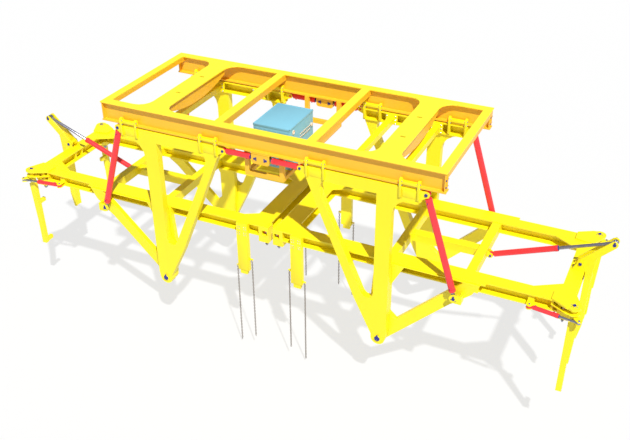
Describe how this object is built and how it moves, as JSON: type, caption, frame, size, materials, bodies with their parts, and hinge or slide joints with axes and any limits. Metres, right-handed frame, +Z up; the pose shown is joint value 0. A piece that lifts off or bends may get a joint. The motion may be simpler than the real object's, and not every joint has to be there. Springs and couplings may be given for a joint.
{
  "type": "tilting twin-lift container spreader beam",
  "caption": "Spreader beam that slides apart two tilt frames, each locking onto one container and tipping it, with hydraulic door gear and hanging chains.",
  "frame": {"origin": "centre of the headblock face, level with the top of the head frame, midway between its two deck plates", "axes": "+X along the containers, away from the middle towards the right-hand container; +Y across them, towards the back; +Z up"},
  "size_m": [13.266, 3.13, 5.4],
  "materials": {
    "frame_paint": "gloss orange-yellow paint",
    "yellow_paint": "gloss bright yellow paint",
    "cylinder_paint": "gloss red paint",
    "rod_steel": "ground steel",
    "cabinet_paint": "satin light blue paint",
    "chain_steel": "oiled dark steel"
  },
  "bodies": {
    "head": {"head_frame": "frame_paint", "cabinet": "cabinet_paint", "centre_rods_front": "rod_steel", "centre_rods_back": "rod_steel"},
    "carriage_left": {"side_frame_left_front": "yellow_paint", "side_frame_left_back": "yellow_paint", "separation_barrel_left_front": "cylinder_paint", "separation_barrel_left_back": "cylinder_paint", "cross_beam_left_inner": "yellow_paint", "cross_beam_left_outer": "yellow_paint"},
    "tilt_left": {"tilt_frame_left": "yellow_paint", "chain_left_front_inner": "chain_steel", "chain_left_front_outer": "chain_steel", "chain_left_back_inner": "chain_steel", "chain_left_back_outer": "chain_steel"},
    "tilt_barrel_left_front": {"tilt_barrel_left_front": "cylinder_paint"},
    "tilt_rod_left_front": {"tilt_rod_left_front": "rod_steel"},
    "tilt_barrel_left_back": {"tilt_barrel_left_back": "cylinder_paint"},
    "tilt_rod_left_back": {"tilt_rod_left_back": "rod_steel"},
    "lever_left": {"lever_left": "yellow_paint"},
    "lever_barrel_left": {"lever_barrel_left": "cylinder_paint"},
    "lever_rod_left": {"lever_rod_left": "rod_steel"},
    "corner_arm_left_front": {"corner_arm_left_front": "yellow_paint"},
    "corner_barrel_left_front": {"corner_barrel_left_front": "cylinder_paint"},
    "corner_rod_left_front": {"corner_rod_left_front": "rod_steel"},
    "corner_arm_left_back": {"corner_arm_left_back": "yellow_paint"},
    "corner_barrel_left_back": {"corner_barrel_left_back": "cylinder_paint"},
    "corner_rod_left_back": {"corner_rod_left_back": "rod_steel"},
    "twistlock_left_front_inner": {"twistlock_left_front_inner": "rod_steel"},
    "twistlock_left_front_outer": {"twistlock_left_front_outer": "rod_steel"},
    "twistlock_left_back_inner": {"twistlock_left_back_inner": "rod_steel"},
    "twistlock_left_back_outer": {"twistlock_left_back_outer": "rod_steel"},
    "carriage_right": {"side_frame_right_front": "yellow_paint", "side_frame_right_back": "yellow_paint", "separation_barrel_right_front": "cylinder_paint", "separation_barrel_right_back": "cylinder_paint", "cross_beam_right_inner": "yellow_paint", "cross_beam_right_outer": "yellow_paint"},
    "tilt_right": {"tilt_frame_right": "yellow_paint", "chain_right_front_inner": "chain_steel", "chain_right_front_outer": "chain_steel", "chain_right_back_inner": "chain_steel", "chain_right_back_outer": "chain_steel"},
    "tilt_barrel_right_front": {"tilt_barrel_right_front": "cylinder_paint"},
    "tilt_rod_right_front": {"tilt_rod_right_front": "rod_steel"},
    "tilt_barrel_right_back": {"tilt_barrel_right_back": "cylinder_paint"},
    "tilt_rod_right_back": {"tilt_rod_right_back": "rod_steel"},
    "lever_right": {"lever_right": "yellow_paint"},
    "lever_barrel_right": {"lever_barrel_right": "cylinder_paint"},
    "lever_rod_right": {"lever_rod_right": "rod_steel"},
    "corner_arm_right_front": {"corner_arm_right_front": "yellow_paint"},
    "corner_barrel_right_front": {"corner_barrel_right_front": "cylinder_paint"},
    "corner_rod_right_front": {"corner_rod_right_front": "rod_steel"},
    "corner_arm_right_back": {"corner_arm_right_back": "yellow_paint"},
    "corner_barrel_right_back": {"corner_barrel_right_back": "cylinder_paint"},
    "corner_rod_right_back": {"corner_rod_right_back": "rod_steel"},
    "twistlock_right_front_inner": {"twistlock_right_front_inner": "rod_steel"},
    "twistlock_right_front_outer": {"twistlock_right_front_outer": "rod_steel"},
    "twistlock_right_back_inner": {"twistlock_right_back_inner": "rod_steel"},
    "twistlock_right_back_outer": {"twistlock_right_back_outer": "rod_steel"}
  },
  "joints": [
    {"name": "carriage_slide_left", "type": "slide", "parent": "head", "child": "carriage_left", "axis": [-1, 0, 0], "range_m": [0, 0.4]},
    {"name": "tilt_hinge_left", "type": "hinge", "parent": "carriage_left", "child": "tilt_left", "pos_m": [-2.54, 0, -4.053], "axis": [0, -1, 0], "range_deg": [0, 45]},
    {"name": "tilt_barrel_left_front_pin", "type": "hinge", "parent": "carriage_left", "child": "tilt_barrel_left_front", "pos_m": [-3.343, -1.45, -0.526], "axis": [0, 1, 0], "range_deg": [0, 1.65]},
    {"name": "tilt_rod_left_front_stroke", "type": "slide", "parent": "tilt_barrel_left_front", "child": "tilt_rod_left_front", "axis": [-0.3049, 0, -0.9524], "range_m": [0, 1.572]},
    {"name": "tilt_barrel_left_back_pin", "type": "hinge", "parent": "carriage_left", "child": "tilt_barrel_left_back", "pos_m": [-3.343, 1.45, -0.526], "axis": [0, 1, 0], "range_deg": [0, 1.65]},
    {"name": "tilt_rod_left_back_stroke", "type": "slide", "parent": "tilt_barrel_left_back", "child": "tilt_rod_left_back", "axis": [-0.3049, 0, -0.9524], "range_m": [0, 1.572]},
    {"name": "lever_hinge_left", "type": "hinge", "parent": "tilt_left", "child": "lever_left", "pos_m": [-6.03, 0, -2.102], "axis": [0, 1, 0], "range_deg": [0, 60]},
    {"name": "lever_barrel_left_pin", "type": "hinge", "parent": "tilt_left", "child": "lever_barrel_left", "pos_m": [-4.31, 0, -2.433], "axis": [0, 1, 0], "range_deg": [0, 13.91]},
    {"name": "lever_rod_left_stroke", "type": "slide", "parent": "lever_barrel_left", "child": "lever_rod_left", "axis": [-0.9316, 0, 0.3635], "range_m": [-0.57, 0]},
    {"name": "corner_hinge_left_front", "type": "hinge", "parent": "tilt_left", "child": "corner_arm_left_front", "pos_m": [-6.174, -1.307, -2.4625], "axis": [0, 0, 1], "range_deg": [0, 90]},
    {"name": "corner_barrel_left_front_pin", "type": "hinge", "parent": "tilt_left", "child": "corner_barrel_left_front", "pos_m": [-5.39, -1.329, -2.4625], "axis": [0, 0, 1], "range_deg": [0, 2.54]},
    {"name": "corner_rod_left_front_stroke", "type": "slide", "parent": "corner_barrel_left_front", "child": "corner_rod_left_front", "axis": [-0.9904, -0.1384, 0], "range_m": [-0.29, 0]},
    {"name": "corner_hinge_left_back", "type": "hinge", "parent": "tilt_left", "child": "corner_arm_left_back", "pos_m": [-6.174, 1.307, -2.4625], "axis": [0, 0, -1], "range_deg": [0, 90]},
    {"name": "corner_barrel_left_back_pin", "type": "hinge", "parent": "tilt_left", "child": "corner_barrel_left_back", "pos_m": [-5.39, 1.329, -2.4625], "axis": [0, 0, -1], "range_deg": [0, 2.54]},
    {"name": "corner_rod_left_back_stroke", "type": "slide", "parent": "corner_barrel_left_back", "child": "corner_rod_left_back", "axis": [-0.9904, 0.1384, 0], "range_m": [-0.29, 0]},
    {"name": "twistlock_left_front_inner_turn", "type": "hinge", "parent": "tilt_left", "child": "twistlock_left_front_inner", "pos_m": [-0.141, -1.1295, -2.67], "axis": [0, 0, 1], "range_deg": [0, 90]},
    {"name": "twistlock_left_front_outer_turn", "type": "hinge", "parent": "tilt_left", "child": "twistlock_left_front_outer", "pos_m": [-5.994, -1.1295, -2.67], "axis": [0, 0, 1], "range_deg": [0, 90]},
    {"name": "twistlock_left_back_inner_turn", "type": "hinge", "parent": "tilt_left", "child": "twistlock_left_back_inner", "pos_m": [-0.141, 1.1295, -2.67], "axis": [0, 0, 1], "range_deg": [0, 90]},
    {"name": "twistlock_left_back_outer_turn", "type": "hinge", "parent": "tilt_left", "child": "twistlock_left_back_outer", "pos_m": [-5.994, 1.1295, -2.67], "axis": [0, 0, 1], "range_deg": [0, 90]},
    {"name": "carriage_slide_right", "type": "slide", "parent": "head", "child": "carriage_right", "axis": [1, 0, 0], "range_m": [0, 0.4]},
    {"name": "tilt_hinge_right", "type": "hinge", "parent": "carriage_right", "child": "tilt_right", "pos_m": [2.54, 0, -4.053], "axis": [0, 1, 0], "range_deg": [0, 45]},
    {"name": "tilt_barrel_right_front_pin", "type": "hinge", "parent": "carriage_right", "child": "tilt_barrel_right_front", "pos_m": [3.343, -1.45, -0.526], "axis": [0, -1, 0], "range_deg": [0, 1.65]},
    {"name": "tilt_rod_right_front_stroke", "type": "slide", "parent": "tilt_barrel_right_front", "child": "tilt_rod_right_front", "axis": [0.3049, 0, -0.9524], "range_m": [0, 1.572]},
    {"name": "tilt_barrel_right_back_pin", "type": "hinge", "parent": "carriage_right", "child": "tilt_barrel_right_back", "pos_m": [3.343, 1.45, -0.526], "axis": [0, -1, 0], "range_deg": [0, 1.65]},
    {"name": "tilt_rod_right_back_stroke", "type": "slide", "parent": "tilt_barrel_right_back", "child": "tilt_rod_right_back", "axis": [0.3049, 0, -0.9524], "range_m": [0, 1.572]},
    {"name": "lever_hinge_right", "type": "hinge", "parent": "tilt_right", "child": "lever_right", "pos_m": [6.03, 0, -2.102], "axis": [0, -1, 0], "range_deg": [0, 60]},
    {"name": "lever_barrel_right_pin", "type": "hinge", "parent": "tilt_right", "child": "lever_barrel_right", "pos_m": [4.31, 0, -2.433], "axis": [0, -1, 0], "range_deg": [0, 13.91]},
    {"name": "lever_rod_right_stroke", "type": "slide", "parent": "lever_barrel_right", "child": "lever_rod_right", "axis": [0.9316, 0, 0.3635], "range_m": [-0.57, 0]},
    {"name": "corner_hinge_right_front", "type": "hinge", "parent": "tilt_right", "child": "corner_arm_right_front", "pos_m": [6.174, -1.307, -2.4625], "axis": [0, 0, -1], "range_deg": [0, 90]},
    {"name": "corner_barrel_right_front_pin", "type": "hinge", "parent": "tilt_right", "child": "corner_barrel_right_front", "pos_m": [5.39, -1.329, -2.4625], "axis": [0, 0, -1], "range_deg": [0, 2.54]},
    {"name": "corner_rod_right_front_stroke", "type": "slide", "parent": "corner_barrel_right_front", "child": "corner_rod_right_front", "axis": [0.9904, -0.1384, 0], "range_m": [-0.29, 0]},
    {"name": "corner_hinge_right_back", "type": "hinge", "parent": "tilt_right", "child": "corner_arm_right_back", "pos_m": [6.174, 1.307, -2.4625], "axis": [0, 0, 1], "range_deg": [0, 90]},
    {"name": "corner_barrel_right_back_pin", "type": "hinge", "parent": "tilt_right", "child": "corner_barrel_right_back", "pos_m": [5.39, 1.329, -2.4625], "axis": [0, 0, 1], "range_deg": [0, 2.54]},
    {"name": "corner_rod_right_back_stroke", "type": "slide", "parent": "corner_barrel_right_back", "child": "corner_rod_right_back", "axis": [0.9904, 0.1384, 0], "range_m": [-0.29, 0]},
    {"name": "twistlock_right_front_inner_turn", "type": "hinge", "parent": "tilt_right", "child": "twistlock_right_front_inner", "pos_m": [0.141, -1.1295, -2.67], "axis": [0, 0, 1], "range_deg": [0, 90]},
    {"name": "twistlock_right_front_outer_turn", "type": "hinge", "parent": "tilt_right", "child": "twistlock_right_front_outer", "pos_m": [5.994, -1.1295, -2.67], "axis": [0, 0, 1], "range_deg": [0, 90]},
    {"name": "twistlock_right_back_inner_turn", "type": "hinge", "parent": "tilt_right", "child": "twistlock_right_back_inner", "pos_m": [0.141, 1.1295, -2.67], "axis": [0, 0, 1], "range_deg": [0, 90]},
    {"name": "twistlock_right_back_outer_turn", "type": "hinge", "parent": "tilt_right", "child": "twistlock_right_back_outer", "pos_m": [5.994, 1.1295, -2.67], "axis": [0, 0, 1], "range_deg": [0, 90]}
  ],
  "couplings": [
    {"joint": "tilt_barrel_left_front_pin", "follows": "tilt_hinge_left", "ratio": 0.036116},
    {"joint": "tilt_rod_left_front_stroke", "follows": "tilt_hinge_left", "m_per_rad": 1.9993},
    {"joint": "tilt_barrel_left_back_pin", "follows": "tilt_hinge_left", "ratio": 0.036116},
    {"joint": "tilt_rod_left_back_stroke", "follows": "tilt_hinge_left", "m_per_rad": 1.9993},
    {"joint": "lever_barrel_left_pin", "follows": "lever_hinge_left", "ratio": 0.23147},
    {"joint": "lever_rod_left_stroke", "follows": "lever_hinge_left", "m_per_rad": -0.54252},
    {"joint": "corner_barrel_left_front_pin", "follows": "corner_hinge_left_front", "ratio": 0.027953},
    {"joint": "corner_rod_left_front_stroke", "follows": "corner_hinge_left_front", "m_per_rad": -0.18351},
    {"joint": "corner_barrel_left_back_pin", "follows": "corner_hinge_left_back", "ratio": 0.027953},
    {"joint": "corner_rod_left_back_stroke", "follows": "corner_hinge_left_back", "m_per_rad": -0.18351},
    {"joint": "twistlock_left_front_outer_turn", "follows": "twistlock_left_front_inner_turn", "ratio": 1},
    {"joint": "twistlock_left_back_inner_turn", "follows": "twistlock_left_front_inner_turn", "ratio": 1},
    {"joint": "twistlock_left_back_outer_turn", "follows": "twistlock_left_front_inner_turn", "ratio": 1},
    {"joint": "tilt_barrel_right_front_pin", "follows": "tilt_hinge_right", "ratio": 0.036116},
    {"joint": "tilt_rod_right_front_stroke", "follows": "tilt_hinge_right", "m_per_rad": 1.9993},
    {"joint": "tilt_barrel_right_back_pin", "follows": "tilt_hinge_right", "ratio": 0.036116},
    {"joint": "tilt_rod_right_back_stroke", "follows": "tilt_hinge_right", "m_per_rad": 1.9993},
    {"joint": "lever_barrel_right_pin", "follows": "lever_hinge_right", "ratio": 0.23147},
    {"joint": "lever_rod_right_stroke", "follows": "lever_hinge_right", "m_per_rad": -0.54252},
    {"joint": "corner_barrel_right_front_pin", "follows": "corner_hinge_right_front", "ratio": 0.027953},
    {"joint": "corner_rod_right_front_stroke", "follows": "corner_hinge_right_front", "m_per_rad": -0.18351},
    {"joint": "corner_barrel_right_back_pin", "follows": "corner_hinge_right_back", "ratio": 0.027953},
    {"joint": "corner_rod_right_back_stroke", "follows": "corner_hinge_right_back", "m_per_rad": -0.18351},
    {"joint": "twistlock_right_front_outer_turn", "follows": "twistlock_right_front_inner_turn", "ratio": 1},
    {"joint": "twistlock_right_back_inner_turn", "follows": "twistlock_right_front_inner_turn", "ratio": 1},
    {"joint": "twistlock_right_back_outer_turn", "follows": "twistlock_right_front_inner_turn", "ratio": 1}
  ]
}
